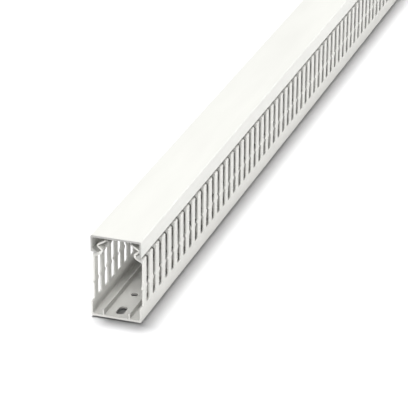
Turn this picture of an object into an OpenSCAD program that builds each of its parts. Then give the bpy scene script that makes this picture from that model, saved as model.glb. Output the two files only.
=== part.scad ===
// Slotted wiring duct with snap-fit cover, one metre of cut stock.
// Millimetres. +Y runs along the duct, +Z is up, the origin is on the
// underside, at the middle of the length and of the width.

/* [Duct] */
// Overall width of the closed duct
duct_w = 36; // [32:0.5:60]
// Overall height with the cover on
duct_h = 60; // [54:0.5:80]
// Number of slot pitches in the length
pitch_count = 80; // [8:2:80]
// Distance from one slot to the next
pitch = 12.5; // [10:0.5:15]
// Thickness of the side walls and fingers
wall_t = 1.2; // [1:0.1:1.4]
// Thickness of the floor
floor_t = 1.5; // [1.2:0.1:2]

/* [Wall slots] */
// Width of each slot between two fingers
slot_w = 6.5; // [4.5:0.1:7]
// Middle of the first slot, measured from the front end
slot_y = 1.3; // [0.8:0.1:2]
// Height of the closed wall below the slots
slot_z = 11; // [9:0.5:14]
// Corner radius at the foot of a slot
slot_r = 1; // [0.5:0.1:2]
// Height of the wire-retaining nubs on the finger edges
nub_z = 24; // [20:0.5:28]
// How far a nub stands out of the finger edge
nub_out = 1.7; // [0.8:0.1:1.8]
// Half the height of a nub at its root
nub_half = 1.9; // [1:0.1:3]

/* [Floor] */
// Distance from a side face to the middle of a floor rib
rib_in = 8.7; // [6:0.1:10]
// Thickness of a floor rib
rib_t = 1; // [0.8:0.1:1.4]
// Height of a floor rib above the underside
rib_h = 5.5; // [4:0.1:8]
// Width of an oblong fixing hole, across the duct
oblong_w = 5.6; // [5:0.1:7]
// Length of an oblong fixing hole, along the duct
oblong_l = 11.4; // [9:0.1:14]
// Diameter of a round fixing hole
round_d = 4.6; // [3.5:0.1:6]
// Distance from the front end to the middle of the first oblong hole
first_hole_y = 10.6; // [9:0.1:14]

/* [Cover] */
// Thickness of the cover plate
cover_t = 1.5; // [1.2:0.1:2]
// Thickness of the cover's side flanges
flange_t = 1.2; // [1:0.1:1.3]
// Height of the side flanges, measured from the top of the duct
flange_h = 12.2; // [12.1:0.1:12.6]

/* [Hidden] */

duct_l = pitch_count * pitch;
hw = duct_w / 2;
hl = duct_l / 2;
// The hook at the top of a finger hangs from the top of the duct.
dz = duct_h - 60;
OUTER = "#dcdbd5";
COVER = "#f3f3ec";

// Points on an arc, for rounded corners in a section.
function arc(cx, cz, r, a0, a1, n = 4) =
    [for (i = [0:n]) let (a = a0 + (a1 - a0) * i / n) [cx + r * cos(a), cz + r * sin(a)]];

// The finger's two sides, as [distance in from the side face, height].
function hook_outer() = [
    [0, 44.5 + dz], [0.3, 45.2 + dz], [1, 45.5 + dz], [4.2, 46 + dz], [5, 46.4 + dz],
    [5.9, 47.3 + dz], [2.2, 50.2 + dz], [1.9, 50.8 + dz], [2.4, 51.3 + dz], [9, 55.4 + dz]];
function hook_inner() = [
    [9.6, 54.3 + dz], [3.6, 50.6 + dz], [6.9, 48.1 + dz], [7.2, 47.5 + dz], [7, 46.7 + dz],
    [5.9, 44.8 + dz], [5.3, 44.2 + dz], [2, 42.6 + dz], [wall_t, 41.8 + dz]];

function flip(p) = [for (i = [len(p) - 1:-1:0]) p[i]];
// Right-hand side: x is measured from the middle.
function right(p) = [for (q = p) [hw - q[0], q[1]]];
function left(p) = [for (q = p) [q[0] - hw, q[1]]];

module along(l = duct_l) {
    translate([0, l / 2, 0]) rotate([90, 0, 0]) linear_extrude(height = l) children();
}

// Cross-section of the channel, fingers included.
module base_section() {
    f = 1.2;
    foot_out = arc(0.8, 0.8, 0.8, 270, 180, 3);
    foot_in = arc(wall_t + f, floor_t + f, f, 180, 270, 3);
    rib = [[rib_in - rib_t / 2, floor_t], [rib_in - rib_t / 2, rib_h - 0.3],
        [rib_in - rib_t / 2 + 0.3, rib_h], [rib_in + rib_t / 2 - 0.3, rib_h],
        [rib_in + rib_t / 2, rib_h - 0.3], [rib_in + rib_t / 2, floor_t]];
    half = concat(foot_out, hook_outer(), hook_inner(), foot_in, rib);
    polygon(concat(right(half), flip(left(half))));
}

// One slot as it is seen from the side.
module slot_outline() {
    top = duct_h - 1;
    w = slot_w / 2;
    half = concat(arc(w - slot_r, slot_z + slot_r, slot_r, -90, 0, 3),
        [[w, nub_z - nub_half], [w - nub_out + 0.2, nub_z - 0.5], [w - nub_out, nub_z],
         [w - nub_out + 0.2, nub_z + 0.5], [w, nub_z + nub_half], [w, top]]);
    polygon(concat(half, flip([for (q = half) [-q[0], q[1]]])));
}

// Each punch goes through both walls. The first and the last slot are cut
// open by the ends of the length.
module wall_slots() {
    for (k = [0:pitch_count])
        translate([-hw - 1, -hl + slot_y + k * pitch, 0])
            rotate([90, 0, 90]) linear_extrude(height = duct_w + 2) slot_outline();
}

module oblong_hole(y) {
    c = (oblong_l - oblong_w) / 2;
    translate([0, y, -1]) union() {
        translate([0, -c, 0]) cylinder(d = oblong_w, h = floor_t + 2, $fn = 48);
        translate([0, c, 0]) cylinder(d = oblong_w, h = floor_t + 2, $fn = 48);
        translate([-oblong_w / 2, -c, 0]) cube([oblong_w, 2 * c, floor_t + 2]);
    }
}

module round_hole(y) {
    translate([0, y, -1]) cylinder(d = round_d, h = floor_t + 2, $fn = 48);
}

module duct_base() {
    color(OUTER) difference() {
        along() base_section();
        wall_slots();
        for (k = [0:pitch_count / 4 - 1]) {
            oblong_hole(-hl + first_hole_y + 4 * k * pitch);
            round_hole(-hl + first_hole_y + (4 * k + 2) * pitch);
        }
    }
}

// Cross-section of the cover: plate, flanges and the beads that snap in.
module cover_section() {
    zb = duct_h - flange_h;
    ft = flange_t;
    half = concat(
        [for (q = arc(0.9, duct_h - 0.9, 0.9, 90, 180, 4)) q],
        [[0, zb + 0.5], [0.2, zb + 0.1], [0.6, zb], [3.8, zb],
         [4.3, zb + 0.2], [4.2, zb + 0.6], [2.2, zb + 2], [ft + 0.2, zb + 2.5], [ft, zb + 3.1]],
        [for (q = arc(ft + 0.6, duct_h - cover_t - 0.6, 0.6, 180, 90, 3)) q]);
    polygon(concat(right(half), flip(left(half))));
}

module cover() {
    color(COVER) along() cover_section();
}

duct_base();
cover();
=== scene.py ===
import bpy
import math
from mathutils import Vector, Matrix
from mathutils.geometry import delaunay_2d_cdt


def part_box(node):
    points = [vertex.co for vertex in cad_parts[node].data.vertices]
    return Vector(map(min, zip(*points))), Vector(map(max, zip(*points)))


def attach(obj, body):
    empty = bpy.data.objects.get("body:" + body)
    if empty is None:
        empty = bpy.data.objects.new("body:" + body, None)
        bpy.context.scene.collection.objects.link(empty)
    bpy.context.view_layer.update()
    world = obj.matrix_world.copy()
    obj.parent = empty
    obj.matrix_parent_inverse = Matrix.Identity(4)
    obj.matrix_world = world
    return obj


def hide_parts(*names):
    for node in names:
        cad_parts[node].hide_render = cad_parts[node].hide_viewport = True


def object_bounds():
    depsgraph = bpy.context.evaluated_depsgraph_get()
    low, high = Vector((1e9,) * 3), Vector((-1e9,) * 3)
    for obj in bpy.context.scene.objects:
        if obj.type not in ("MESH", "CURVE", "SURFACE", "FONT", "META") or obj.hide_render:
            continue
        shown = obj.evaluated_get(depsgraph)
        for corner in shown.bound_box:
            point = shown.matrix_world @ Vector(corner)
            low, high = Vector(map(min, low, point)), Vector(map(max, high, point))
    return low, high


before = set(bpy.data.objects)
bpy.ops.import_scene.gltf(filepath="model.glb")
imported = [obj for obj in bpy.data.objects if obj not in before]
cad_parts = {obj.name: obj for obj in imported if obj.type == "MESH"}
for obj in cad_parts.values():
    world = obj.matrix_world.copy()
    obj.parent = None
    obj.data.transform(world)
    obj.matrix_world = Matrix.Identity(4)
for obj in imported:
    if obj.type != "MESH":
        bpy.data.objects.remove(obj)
CAD_LO, CAD_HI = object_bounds()

MM = 0.001
COVER_LO, COVER_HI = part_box("cover")

# ------------------------------------------------------------------ sizes, mm
HW = CAD_HI.x / MM                  # half the width
H = CAD_HI.z / MM                   # overall height
Y0, Y1 = CAD_LO.y / MM, CAD_HI.y / MM   # the two cut ends
PITCH = 12.5
COUNT = int(round((Y1 - Y0) / PITCH))
T = 1.2                             # wall
FT = 1.5                            # floor
SLOT_W, SLOT_Z, SLOT_R = 6.5, 11.0, 1.0
SLOT_Y = 1.3                        # middle of the first slot, from the front end
NUB_Z, NUB_OUT, NUB_HALF = 24.0, 1.7, 1.9
RIB_IN, RIB_T, RIB_H = 8.7, 1.0, 5.5
OB_W, OB_L, ROUND_D, HOLE_Y = 5.6, 11.4, 4.6, 10.6
COVER_T, FLANGE_T = 1.5, 1.2
FLANGE_Z = COVER_LO.z / MM
B = 0.16                            # small chamfer on the punched edges


# --------------------------------------------------------------- mesh helpers
class Mesh:
    """Collects vertices (mm) and faces with a material index, and welds them at the end."""

    def __init__(self):
        self.v, self.f, self.m = [], [], []

    def add(self, p):
        self.v.append((p[0], p[1], p[2]))
        return len(self.v) - 1

    def face(self, ids, mat=0):
        out = []
        for i in ids:
            if not out or out[-1] != i:
                out.append(i)
        if len(out) > 1 and out[0] == out[-1]:
            out.pop()
        if len(out) >= 3:
            self.f.append(tuple(out))
            self.m.append(mat)

    def strip(self, a, b, mat=0, closed=False):
        """Quads between two rows of the same length."""
        n = len(a)
        for i in range(n if closed else n - 1):
            j = (i + 1) % n
            self.face((a[i], a[j], b[j], b[i]), mat)

    def build(self, name, mats):
        keep, index = {}, []
        verts = []
        for p in self.v:
            k = (round(p[0] * 2000), round(p[1] * 2000), round(p[2] * 2000))
            if k not in keep:
                keep[k] = len(verts)
                verts.append((p[0] * MM, p[1] * MM, p[2] * MM))
            index.append(keep[k])
        faces, mi = [], []
        for f, m in zip(self.f, self.m):
            g = []
            for i in f:
                j = index[i]
                if not g or g[-1] != j:
                    g.append(j)
            if len(g) > 1 and g[0] == g[-1]:
                g.pop()
            if len(g) >= 3:
                faces.append(g)
                mi.append(m)
        me = bpy.data.meshes.new(name)
        me.from_pydata(verts, [], faces)
        for m in mats:
            me.materials.append(m)
        me.polygons.foreach_set("material_index", mi)
        me.validate()
        import bmesh
        bm = bmesh.new()
        bm.from_mesh(me)
        bmesh.ops.recalc_face_normals(bm, faces=bm.faces)
        holes = [e for e in bm.edges if not e.is_manifold]
        print(name, "verts", len(bm.verts), "faces", len(bm.faces), "open edges", len(holes),
              "volume cm3", round(bm.calc_volume() * 1e6, 2))
        if holes:
            for e in holes[:12]:
                print("   open", [tuple(round(c / MM, 3) for c in v.co) for v in e.verts], len(e.link_faces))
        bm.to_mesh(me)
        bm.free()
        o = bpy.data.objects.new(name, me)
        bpy.context.scene.collection.objects.link(o)
        return o


def finish_shading(o, angle=62.0):
    """Smooth shading, with the right-angled edges sharp and the big flat faces kept flat."""
    bpy.ops.object.select_all(action="DESELECT")
    o.select_set(True)
    bpy.context.view_layer.objects.active = o
    me = o.data
    me.polygons.foreach_set("use_smooth", [True] * len(me.polygons))
    me.set_sharp_from_angle(angle=math.radians(angle))
    w = o.modifiers.new("normals", "WEIGHTED_NORMAL")
    w.keep_sharp = True
    w.mode = "FACE_AREA"
    w.weight = 100
    bpy.ops.object.modifier_apply(modifier=w.name)


def arc(cx, cz, r, a0, a1, n):
    return [(cx + r * math.cos(math.radians(a0 + (a1 - a0) * i / n)),
             cz + r * math.sin(math.radians(a0 + (a1 - a0) * i / n))) for i in range(n + 1)]


def filleted(points, radii, n=6):
    """A polyline with each inner corner rounded to a true arc."""
    out = [points[0]]
    for i in range(1, len(points) - 1):
        p, a, b = Vector(points[i]), Vector(points[i - 1]), Vector(points[i + 1])
        r, k = radii[i - 1], n
        d1, d2 = (a - p).normalized(), (b - p).normalized()
        half = d1.angle(d2) / 2
        t = r / math.tan(half)
        c = p + (d1 + d2).normalized() * (r / math.sin(half))
        s, e = p + d1 * t, p + d2 * t
        a0 = math.atan2(s.y - c.y, s.x - c.x)
        a1 = math.atan2(e.y - c.y, e.x - c.x)
        while a1 - a0 > math.pi:
            a1 -= 2 * math.pi
        while a1 - a0 < -math.pi:
            a1 += 2 * math.pi
        k = max(3, int(abs(a1 - a0) / math.radians(14)) + 1)
        for j in range(k + 1):
            q = a0 + (a1 - a0) * j / k
            out.append((c.x + r * math.cos(q), c.y + r * math.sin(q)))
    out.append(points[-1])
    return out


# ------------------------------------------------ the finger's profile, (u, z)
# u is the distance in from the side face. The middle line of the bent finger top.
def hook_line():
    d = H - 60.0
    pts = [(T / 2, 38.0), (T / 2, 42.6 + d), (5.1, 44.75 + d), (6.75, 47.45 + d), (2.55, 50.7 + d), (9.3, 54.85 + d)]
    return filleted(pts, [1.7, 1.7, 0.95, 0.85])


def hook_rows():
    line = hook_line()[1:]          # starts where the wall begins to bend
    rows = []
    for i, p in enumerate(line):
        a = Vector(line[max(i - 1, 0)])
        b = Vector(line[min(i + 1, len(line) - 1)])
        if i == 0:
            t = Vector((0, 1))
        else:
            t = (b - a).normalized()
        n = Vector((t.y, -t.x))     # towards the wireway
        c = Vector(p)
        rows.append((tuple(c - n * T / 2), tuple(c + n * T / 2)))
    # below the notch the shoulder is thicker than the wall: it has its own two outlines
    d = H - 60.0
    k = max((q for q in range(len(rows)) if rows[q][0][1] < 49.0 + d), key=lambda q: rows[q][1][0])
    o, i = rows[k]
    outer = filleted([(0, 38.0), (0, 45.45 + d), (4.6, 46.05 + d), o], [0.8, 1.0])
    inner = filleted([(T, 38.0), (T, 42.2 + d), (5.65, 44.35 + d), (i[0] + 0.08, i[1] - 0.75), i], [1.2, 1.3, 0.7])
    return list(zip(resampled(outer, 26), resampled(inner, 26))) + rows[k + 1:]


def resampled(line, n):
    """n + 1 points along a polyline, equally far apart, without the first."""
    run = [0.0]
    for a, b in zip(line, line[1:]):
        run.append(run[-1] + math.dist(a, b))
    out = []
    for j in range(1, n + 1):
        want = run[-1] * j / n
        q = next(q for q in range(1, len(run)) if run[q] >= want - 1e-9)
        t = (want - run[q - 1]) / max(run[q] - run[q - 1], 1e-9)
        out.append((line[q - 1][0] + (line[q][0] - line[q - 1][0]) * t,
                    line[q - 1][1] + (line[q][1] - line[q - 1][1]) * t))
    return out


def nub(z):
    """How far the finger's edge stands out at height z."""
    x = abs(z - NUB_Z) / NUB_HALF
    if x >= 1:
        return 0.0
    return NUB_OUT * min(1.0, (1 - x) * 1.32) * (1 - 0.08 * x) if x > 0.24 else NUB_OUT * (1 - 0.9 * x * x)


def finger_rows():
    """Rows from the foot to the tip: outer point, inner point and how much the edges stand out."""
    rows = [((0, SLOT_Z + SLOT_R), (T, SLOT_Z + SLOT_R), 0.0)]
    for k in (-1.0, -0.82, -0.62, -0.42, -0.26, -0.13, 0.0, 0.13, 0.26, 0.42, 0.62, 0.82, 1.0):
        z = NUB_Z + NUB_HALF * k
        rows.append(((0, z), (T, z), nub(z)))
    hook = hook_rows()
    for o, i in hook[:-1]:
        rows.append((o, i, 0.0))
    # rounded corners at the tip
    (o1, i1), (o0, i0) = hook[-1], hook[-2]
    do = Vector(o1) - Vector(o0)
    length = do.length
    r = 0.7
    for a in (90, 65, 42, 20, 4):
        back = r * (1 - math.cos(math.radians(a)))   # distance still to go
        back = r - r * math.sin(math.radians(90 - a))
        k = 1 - back / length
        o = Vector(o0).lerp(Vector(o1), k)
        i = Vector(i0).lerp(Vector(i1), k)
        inset = r - r * math.sin(math.radians(a)) if a < 90 else 0.0
        rows.append((tuple(o), tuple(i), -inset))
    return rows


def P(side, u, y, z):
    """Point on the right (+1) or left (-1) wall."""
    return (side * (HW - u), y, z)


PLAIN, CUT_WITH_HIGHLIGHT, BORE_PAINTED_SHADE = 0, 1, 2      # material indices: extruded skin; punched or sawn faces, a little lighter, partly painted highlight; hole walls, dark with painted shade


def ring(m, side, o, i, y, s, b):
    """The four vertices across the wall's thickness at an edge. s is +1 where the material lies towards -y, -1 where it lies towards +y."""
    o, i = Vector(o), Vector(i)
    k = b / T

    def at(d, yy):
        p = o.lerp(i, d)
        return m.add(P(side, p.x, yy, p.y))
    return [at(0, y - s * b), at(k, y), at(1 - k, y), at(1, y - s * b)]


def make_base(mats):
    m = Mesh()
    rows = finger_rows()
    caps = {Y0: {}, Y1: {}}
    zf = SLOT_Z + SLOT_R
    inner_floor = [(T, FT + 1.2)] + arc(T + 1.2, FT + 1.2, 1.2, 180, 270, 5)[1:]
    outer_foot = [(0, 0.8)] + arc(0.8, 0.8, 0.8, 180, 270, 5)[1:]
    for side, first in ((1, SLOT_Y), (-1, SLOT_Y)):
        # slot edges along the wall
        slots = []
        k = 0
        while Y0 + first + k * PITCH - SLOT_W / 2 < Y1 - 0.01:
            a = Y0 + first + k * PITCH - SLOT_W / 2
            slots.append([a, a + SLOT_W])
            k += 1
        for s in slots:
            if s[1] > Y1 - 1.5:
                s[1] = None                      # runs out through the back end
            if s[0] < Y0 + 1e-6:
                s[0] = None                      # cut open by the front end
        fingers = []
        start = Y0 if slots[0][0] is not None else slots[0][1]
        for n, s in enumerate(slots):
            if s[0] is None:
                continue
            fingers.append((start, s[0]))
            start = s[1]
        # ---- fingers
        foot_out = {}
        for ya, yb in fingers:
            cutL = abs(ya - Y0) < 1e-6
            prev = None
            for n, (o, i, out) in enumerate(rows):
                o, i = tuple(o), tuple(i)
                R = ring(m, side, o, i, yb + out, 1, B)
                if cutL:
                    L = [m.add(P(side, o[0], ya, o[1])), None, None, m.add(P(side, i[0], ya, i[1]))]
                else:
                    L = ring(m, side, o, i, ya - out, -1, B)
                if prev:
                    pL, pR = prev
                    m.face((pL[0], pR[0], R[0], L[0]))                    # outer skin
                    m.face((pL[3], L[3], R[3], pR[3]))                    # inner skin
                    m.strip(pR, R, CUT_WITH_HIGHLIGHT)
                    if not cutL:
                        m.strip(L, pL, CUT_WITH_HIGHLIGHT)
                prev = (L, R)
            # the tip: a chamfered end
            (o, i, out) = rows[-1]
            o, i = Vector(o), Vector(i)
            d = (Vector(rows[-1][0]) - Vector(rows[-2][0]))
            d = d.normalized() * B
            L, R = prev
            ye, ys = yb + out, (ya if cutL else ya - out)
            k = B / T

            def tip(dd, yy):
                p = o.lerp(i, dd) + d
                return m.add(P(side, p.x, yy, p.y))
            iy = 0.0 if cutL else B
            t = [tip(k, ys + iy), tip(k, ye - B), tip(1 - k, ye - B), tip(1 - k, ys + iy)]
            m.face(t, CUT_WITH_HIGHLIGHT)
            m.face((L[0], R[0], t[1], t[0]), CUT_WITH_HIGHLIGHT)
            m.face((R[0], R[1], t[1]), CUT_WITH_HIGHLIGHT)
            m.face((R[1], R[2], t[2], t[1]), CUT_WITH_HIGHLIGHT)
            m.face((R[2], R[3], t[2]), CUT_WITH_HIGHLIGHT)
            m.face((R[3], L[3], t[3], t[2]), CUT_WITH_HIGHLIGHT)
            if not cutL:
                m.face((L[3], L[2], t[3]), CUT_WITH_HIGHLIGHT)
                m.face((L[2], L[1], t[0], t[3]), CUT_WITH_HIGHLIGHT)
                m.face((L[1], L[0], t[0]), CUT_WITH_HIGHLIGHT)
            else:
                caps[Y0][side] = "finger"
                caps["tip"] = t
        # ---- feet of the slots, and the skin below them
        top_o, top_i = [], []        # the upper boundary of the closed wall, from front to back
        def push(o_id, i_id):
            top_o.append(o_id)
            top_i.append(i_id)
        for n, (ya, yb) in enumerate(slots):
            pts = []                 # (y, z, ny, nz): the foot and the way into the material
            if ya is None:
                pts.append((Y0, SLOT_Z, 0, -1))
            else:
                c = (ya + SLOT_R, zf)
                for q in range(0, 5):
                    a = math.radians(90 * q / 4)
                    pts.append((c[0] - SLOT_R * math.cos(a), c[1] - SLOT_R * math.sin(a), -math.cos(a), -math.sin(a)))
            if yb is None:
                pts.append((Y1, SLOT_Z, 0, -1))
            else:
                c = (yb - SLOT_R, zf)
                for q in range(4, -1, -1):
                    a = math.radians(90 * q / 4)
                    pts.append((c[0] + SLOT_R * math.cos(a), c[1] - SLOT_R * math.sin(a), math.cos(a), -math.sin(a)))
            if n == 0 and ya is not None:
                # a whole finger stands at the front end
                push(m.add(P(side, 0, Y0, zf)), m.add(P(side, T, Y0, zf)))
            last = None
            for (y, z, ny, nz) in pts:
                r4 = [m.add(P(side, 0, y + ny * B, z + nz * B)), m.add(P(side, B, y, z)),
                      m.add(P(side, T - B, y, z)), m.add(P(side, T, y + ny * B, z + nz * B))]
                if last:
                    m.strip(last, r4, CUT_WITH_HIGHLIGHT)
                last = r4
                push(r4[0], r4[3])
                if abs(y - Y0) < 1e-6:
                    caps[Y0][side] = r4
                if abs(y - Y1) < 1e-6:
                    caps[Y1][side] = r4
        # flat skin from the slots' feet down to the bottom corner, outside and inside
        for ids, u, z in ((top_o, 0, 0.8), (top_i, T, FT + 1.2)):
            a, b = m.add(P(side, u, Y0, z)), m.add(P(side, u, Y1, z))
            loop = ids + [b, a]
            co = [Vector((m.v[q][1], m.v[q][2])) for q in loop]
            edges = [(q, (q + 1) % len(loop)) for q in range(len(loop))]
            vs, es, fs, ov, oe, of_ = delaunay_2d_cdt(co, edges, [], 1, 1e-5)
            back = {}
            for nv, src in enumerate(ov):
                if src:
                    back[nv] = loop[src[0]]
                else:
                    back[nv] = m.add(P(side, u, vs[nv].x, vs[nv].y))
            for f in fs:
                m.face([back[q] for q in f])
        # long strips round the bottom corner
        for pts in (outer_foot, inner_floor):
            for q in range(len(pts) - 1):
                p0, p1 = pts[q], pts[q + 1]
                m.face((m.add(P(side, p0[0], Y0, p0[1])), m.add(P(side, p0[0], Y1, p0[1])),
                        m.add(P(side, p1[0], Y1, p1[1])), m.add(P(side, p1[0], Y0, p1[1]))))
        # floor between the corner and the rib, and the rib
        r0, r1 = RIB_IN - RIB_T / 2, RIB_IN + RIB_T / 2
        rib = [(r0 - 0.3, FT), (r0 - 0.09, FT + 0.09), (r0, FT + 0.3), (r0, RIB_H - 0.35)]
        rib += arc(r0 + 0.35, RIB_H - 0.35, 0.35, 180, 90, 3)[1:]
        rib += arc(r1 - 0.35, RIB_H - 0.35, 0.35, 90, 0, 3)
        rib += [(r1, FT + 0.3), (r1 + 0.09, FT + 0.09), (r1 + 0.3, FT)]
        section = [inner_floor[-1]] + rib
        for q in range(len(section) - 1):
            p0, p1 = section[q], section[q + 1]
            m.face((m.add(P(side, p0[0], Y0, p0[1])), m.add(P(side, p0[0], Y1, p0[1])),
                    m.add(P(side, p1[0], Y1, p1[1])), m.add(P(side, p1[0], Y0, p1[1]))))
    rib_out = section
    # ---- floor with its holes
    holes = []
    k = 0
    while True:
        y = Y0 + HOLE_Y + 2 * PITCH * k
        if y > Y1 - 5:
            break
        if k % 2 == 0:
            c = (OB_L - OB_W) / 2
            r = OB_W / 2
            loop = [(r * math.cos(math.radians(a)), y + c + r * math.sin(math.radians(a))) for a in range(0, 181, 12)]
            loop += [(r * math.cos(math.radians(a)), y - c + r * math.sin(math.radians(a))) for a in range(180, 361, 12)]
            mid = y
        else:
            r = ROUND_D / 2
            loop = [(r * math.cos(math.radians(a)), y + r * math.sin(math.radians(a))) for a in range(0, 360, 12)]
        # drop doubled points
        clean = []
        for p in loop:
            if not clean or math.dist(p, clean[-1]) > 1e-4:
                clean.append(p)
        if math.dist(clean[0], clean[-1]) < 1e-4:
            clean.pop()
        holes.append(clean)
        k += 1

    def grown(loop, g):
        out = []
        n = len(loop)
        for q in range(n):
            a, b = Vector(loop[q - 1]), Vector(loop[(q + 1) % n])
            t = (b - a).normalized()
            nrm = Vector((t.y, -t.x))        # loops run anticlockwise, so this points out
            out.append((loop[q][0] + nrm.x * g, loop[q][1] + nrm.y * g))
        return out
    def in_hole(x, y):
        k = max(0, round((y - Y0 - HOLE_Y) / (2 * PITCH)))
        dy = abs(y - (Y0 + HOLE_Y + 2 * PITCH * k))
        if k % 2 == 0:
            return math.hypot(x, max(0.0, dy - (OB_L - OB_W) / 2)) < (OB_W / 2 + B) * 0.997
        return math.hypot(x, dy) < (ROUND_D / 2 + B) * 0.997

    # the hole walls take the dark hole material: painted shade that keeps the holes dark inside
    rings = []
    for loop in holes:
        top = [m.add((x, y, FT)) for x, y in grown(loop, B)]
        t1 = [m.add((x, y, FT - B)) for x, y in loop]
        b1 = [m.add((x, y, B)) for x, y in loop]
        bot = [m.add((x, y, 0)) for x, y in grown(loop, B)]
        m.strip(top, t1, BORE_PAINTED_SHADE, closed=True)
        m.strip(t1, b1, BORE_PAINTED_SHADE, closed=True)
        m.strip(b1, bot, BORE_PAINTED_SHADE, closed=True)
        rings.append((top, bot))
    for z, xe, which in ((FT, HW - (RIB_IN + RIB_T / 2 + 0.3), 0), (0.0, HW - 0.8, 1)):
        loop = [m.add((-xe, Y0, z)), m.add((xe, Y0, z)), m.add((xe, Y1, z)), m.add((-xe, Y1, z))]
        ids = list(loop)
        edges = [(0, 1), (1, 2), (2, 3), (3, 0)]
        for r in rings:
            base = len(ids)
            n = len(r[which])
            ids += r[which]
            edges += [(base + q, base + (q + 1) % n) for q in range(n)]
        co = [Vector((m.v[q][0], m.v[q][1])) for q in ids]
        vs, es, fs, ov, oe, of_ = delaunay_2d_cdt(co, edges, [], 2, 1e-5)
        back = {}
        for nv, src in enumerate(ov):
            back[nv] = ids[src[0]] if src else m.add((vs[nv].x, vs[nv].y, z))
        for f in fs:
            cx = sum(vs[q].x for q in f) / len(f)
            cy = sum(vs[q].y for q in f) / len(f)
            if not in_hole(cx, cy):
                m.face([back[q] for q in f])
    # ---- the two sawn ends
    for ye in (Y0, Y1):
        loop = []
        for side in (1, -1):
            half = []
            top = caps[ye][side]
            if top == "finger":
                up = [(0, zf)] + [tuple(r[0]) for r in rows[1:]]
                down = [tuple(r[1]) for r in rows[::-1]]
                half += [P(side, p[0], ye, p[1]) for p in up]
                t = caps["tip"]
                half += [m.v[t[0]], m.v[t[3]]]
                half += [P(side, p[0], ye, p[1]) for p in down]
            else:
                half += [m.v[q] for q in top]
            half += [P(side, p[0], ye, p[1]) for p in inner_floor]
            half += [P(side, p[0], ye, p[1]) for p in rib_out[1:]]
            foot = [P(side, p[0], ye, p[1]) for p in outer_foot[::-1]]
            half = foot + half           # from the underside, up outside, over, down inside, to the rib
            if side == 1:
                loop += half
            else:
                loop += half[::-1]
        clean = []
        for p in loop:
            if not clean or math.dist(p, clean[-1]) > 1e-4:
                clean.append(p)
        ids = [m.add(p) for p in clean]
        # cut the cap into triangles, as it is far from convex
        co = [Vector((m.v[q][0], m.v[q][2])) for q in ids]
        edges = [(q, (q + 1) % len(ids)) for q in range(len(ids))]
        vs, es, fs, ov, oe, of_ = delaunay_2d_cdt(co, edges, [], 1, 1e-6)
        for f in fs:
            m.face([ids[ov[q][0]] for q in f], CUT_WITH_HIGHLIGHT)
    return m.build("duct_base_mesh", mats)


def make_cover(mats):
    m = Mesh()
    zb = FLANGE_Z
    half = arc(1.0, H - 1.0, 1.0, 90, 180, 7)
    half += [(0, zb + 0.5)] + arc(0.5, zb + 0.5, 0.5, 180, 266, 4)[1:]
    bead = filleted([(0.9, zb), (4.75, zb - 0.02), (3.5, zb + 1.12), (1.9, zb + 2.2), (FLANGE_T, zb + 3.1), (FLANGE_T, zb + 5)],
                    [0.42, 2.0, 0.8, 0.7])
    half += bead
    half += arc(FLANGE_T + 0.6, H - COVER_T - 0.6, 0.6, 180, 90, 4)
    loop = [(HW - u, z) for u, z in half] + [(u - HW, z) for u, z in half[::-1]]
    clean = []
    for p in loop:
        if not clean or math.dist(p, clean[-1]) > 1e-3:
            clean.append(p)
    if math.dist(clean[0], clean[-1]) < 1e-3:
        clean.pop()
    n = len(clean)

    def inset(g):
        out = []
        for q in range(n):
            a, b, c = Vector(clean[q - 1]), Vector(clean[q]), Vector(clean[(q + 1) % n])
            d1, d2 = (b - a).normalized(), (c - b).normalized()
            n1, n2 = Vector((-d1.y, d1.x)), Vector((-d2.y, d2.x))
            k = (n1 + n2)
            k = k / max(k.length_squared, 1e-6) * 2
            out.append((b.x + k.x * g, b.y + k.y * g))
        return out
    area = sum(clean[q][0] * clean[(q + 1) % n][1] - clean[(q + 1) % n][0] * clean[q][1] for q in range(n)) / 2
    small = inset(0.1 if area > 0 else -0.1)
    a = [m.add((x, Y0 + 0.1, z)) for x, z in clean]
    b = [m.add((x, Y1 - 0.1, z)) for x, z in clean]
    m.strip(a, b, PLAIN, closed=True)
    for ring_, y, s in ((a, Y0, 1), (b, Y1, -1)):
        e = [m.add((x, y, z)) for x, z in small]
        m.strip(ring_, e, CUT_WITH_HIGHLIGHT, closed=True)
        co = [Vector((m.v[q][0], m.v[q][2])) for q in e]
        edges = [(q, (q + 1) % n) for q in range(n)]
        vs, es, fs, ov, oe, of_ = delaunay_2d_cdt(co, edges, [], 1, 1e-6)
        for f in fs:
            m.face([e[ov[q][0]] for q in f], CUT_WITH_HIGHLIGHT)
    return m.build("cover_mesh", mats)


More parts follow.
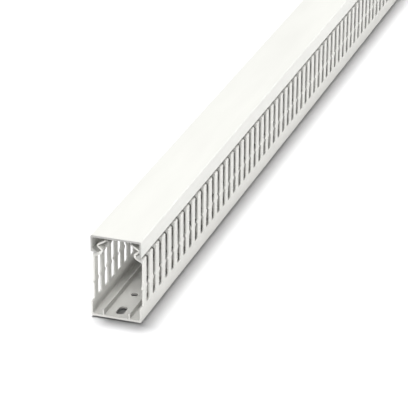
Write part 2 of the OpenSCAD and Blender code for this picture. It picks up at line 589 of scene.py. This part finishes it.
# ------------------------------------------------------------------ materials
def plastic(name, color, rough, cut=False, seed=0.0):
    mat = bpy.data.materials.new(name)
    mat.use_nodes = True
    nt = mat.node_tree
    nt.nodes.clear()
    N = nt.nodes.new
    out = N("ShaderNodeOutputMaterial")
    bsdf = N("ShaderNodeBsdfPrincipled")
    nt.links.new(bsdf.outputs[0], out.inputs[0])
    bsdf.inputs["IOR"].default_value = 1.53
    co = N("ShaderNodeTexCoord")
    # faint mottling of the compound, drawn out along the extrusion
    mp = N("ShaderNodeMapping")
    mp.inputs["Scale"].default_value = (60, 9, 60)
    mp.inputs["Location"].default_value = (seed, seed * 0.7, seed * 1.3)
    nt.links.new(co.outputs["Object"], mp.inputs[0])
    n1 = N("ShaderNodeTexNoise")
    n1.inputs["Scale"].default_value = 1.0
    n1.inputs["Detail"].default_value = 5.0
    nt.links.new(mp.outputs[0], n1.inputs["Vector"])
    ramp = N("ShaderNodeValToRGB")
    ramp.color_ramp.elements[0].position = 0.3
    ramp.color_ramp.elements[1].position = 0.7
    c0 = [c * 0.965 for c in color]
    c1 = [min(1, c * 1.02) for c in color]
    ramp.color_ramp.elements[0].color = (*c0, 1)
    ramp.color_ramp.elements[1].color = (*c1, 1)
    nt.links.new(n1.outputs[0], ramp.inputs[0])
    nt.links.new(ramp.outputs[0], bsdf.inputs["Base Color"])
    # die lines: very fine streaks along the length on the skin, shear marks on the cuts
    mp2 = N("ShaderNodeMapping")
    mp2.inputs["Scale"].default_value = (1800, 2.2, 1800) if not cut else (900, 2600, 900)
    nt.links.new(co.outputs["Object"], mp2.inputs[0])
    n2 = N("ShaderNodeTexNoise")
    n2.inputs["Scale"].default_value = 1.0
    n2.inputs["Detail"].default_value = 3.0
    nt.links.new(mp2.outputs[0], n2.inputs["Vector"])
    rr = N("ShaderNodeMapRange")
    rr.inputs["From Min"].default_value = 0.3
    rr.inputs["From Max"].default_value = 0.7
    rr.inputs["To Min"].default_value = rough - 0.05
    rr.inputs["To Max"].default_value = rough + 0.06
    nt.links.new(n2.outputs[0], rr.inputs["Value"])
    nt.links.new(rr.outputs[0], bsdf.inputs["Roughness"])
    b = N("ShaderNodeBump")
    b.inputs["Strength"].default_value = 0.25 if not cut else 0.5
    b.inputs["Distance"].default_value = 0.00004 if not cut else 0.00008
    nt.links.new(n2.outputs[0], b.inputs["Height"])
    nt.links.new(b.outputs[0], bsdf.inputs["Normal"])
    return mat


base_skin = plastic("duct_plastic", (0.462, 0.458, 0.435), 0.46, seed=1.0)
# partly painted highlight: the cut faces are a little lighter than the skin, partly for the whiter shear face and
# partly as painted light on the sawn front ends
base_cut_painted_highlight = plastic("duct_cut_edge_painted_highlight", (0.49, 0.487, 0.465), 0.62, cut=True, seed=2.0)
# painted shade: the hole walls get a plastic about half as bright as the skin, so the holes read dark
base_bore_painted_shade = plastic("duct_hole_edge_painted_shade", (0.24, 0.238, 0.225), 0.7, cut=True, seed=5.0)
cover_skin = plastic("cover_plastic", (0.525, 0.525, 0.50), 0.44, seed=3.0)
# the same on the cover: its cut faces a little lighter, partly painted highlight
cover_cut_painted_highlight = plastic("cover_cut_edge_painted_highlight", (0.56, 0.557, 0.535), 0.62, cut=True, seed=4.0)

base = make_base([base_skin, base_cut_painted_highlight, base_bore_painted_shade])
finish_shading(base)
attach(base, "base")
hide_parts("duct_base")

cover = make_cover([cover_skin, cover_cut_painted_highlight])
finish_shading(cover)
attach(cover, "lid")
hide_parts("cover")

# ---------------------------------------------------------------- floor, light
def stage_floor():
    me = bpy.data.meshes.new("floor")
    s = 12.0
    me.from_pydata([(-s, -s, -0.001), (s, -s, -0.001), (s, s, -0.001), (-s, s, -0.001)], [], [(0, 1, 2, 3)])
    o = bpy.data.objects.new("floor", me)
    bpy.context.scene.collection.objects.link(o)
    mat = bpy.data.materials.new("floor")
    mat.use_nodes = True
    p = mat.node_tree.nodes["Principled BSDF"]
    p.inputs["Base Color"].default_value = (0.60, 0.60, 0.605, 1)
    p.inputs["Roughness"].default_value = 0.8
    me.materials.append(mat)
    return o


ground = stage_floor()


def area(name, loc, target, size, power, color=(1, 1, 1)):
    l = bpy.data.lights.new(name, "AREA")
    l.shape = "RECTANGLE"
    l.size, l.size_y = size
    l.energy = power
    l.color = color
    o = bpy.data.objects.new(name, l)
    bpy.context.scene.collection.objects.link(o)
    o.location = loc
    d = Vector(target) - Vector(loc)
    o.rotation_euler = d.to_track_quat("-Z", "Y").to_euler()
    return o


world = bpy.data.worlds.new("world")
bpy.context.scene.world = world
world.use_nodes = True
world.node_tree.nodes["Background"].inputs[0].default_value = (1, 1, 1, 1)
world.node_tree.nodes["Background"].inputs[1].default_value = 0.2


def only(light, name, objects):
    """The light falls on these objects only."""
    c = bpy.data.collections.new(name)
    for o in objects:
        c.objects.link(o)
    light.light_linking.receiver_collection = c


area("right fill", (3.0, 0.3, 0.42), (0, 0, 0.03), (2.2, 0.5), 85)
area("front fill", (0.3, -3.2, 0.5), (0, -0.5, 0.03), (1.6, 0.5), 14)
inside = area("inside fill", (0.2, -1.95, 1.5), (0, -0.5, 0.0), (1.4, 1.0), 58)
only(inside, "inside fill on", [base])
# the same from behind and from the left, so the far end and the left wall read as well
back = area("back fill", (-0.2, 1.95, 1.5), (0, 0.5, 0.0), (1.4, 1.0), 60)
only(back, "back fill on", [base])
area("left fill", (-3.0, 0.3, 0.42), (0, 0, 0.03), (2.2, 0.5), 38)
key = bpy.data.lights.new("key", "SUN")
key.energy = 5.1
key.angle = math.radians(18)
ko = bpy.data.objects.new("key", key)
bpy.context.scene.collection.objects.link(ko)
ko.rotation_euler = Vector((0.142, -0.15, -1.0)).to_track_quat("-Z", "Y").to_euler()
only(ko, "key on", [cover, ground])
bpy.context.scene.view_settings.view_transform = "Standard"

# ---------------------------------------------------------------------- camera
cam = bpy.data.cameras.new("camera")
cam.sensor_fit = "HORIZONTAL"
cam.sensor_width = 36
cam.lens = 200.810
cam.clip_start, cam.clip_end = 0.05, 50
co = bpy.data.objects.new("camera", cam)
bpy.context.scene.collection.objects.link(co)
R = ((0.9467194565, 0.3219749570, 0.0073754803),
     (0.1403675247, -0.3919019568, -0.9092358408),
     (-0.2898607057, 0.8618265390, -0.4162160353))
rot = Matrix((R[0], tuple(-c for c in R[1]), tuple(-c for c in R[2]))).transposed()
co.matrix_world = Matrix.Translation(Vector((0.489849, -1.772961, 0.709610))) @ rot.to_4x4()
bpy.context.scene.camera = co
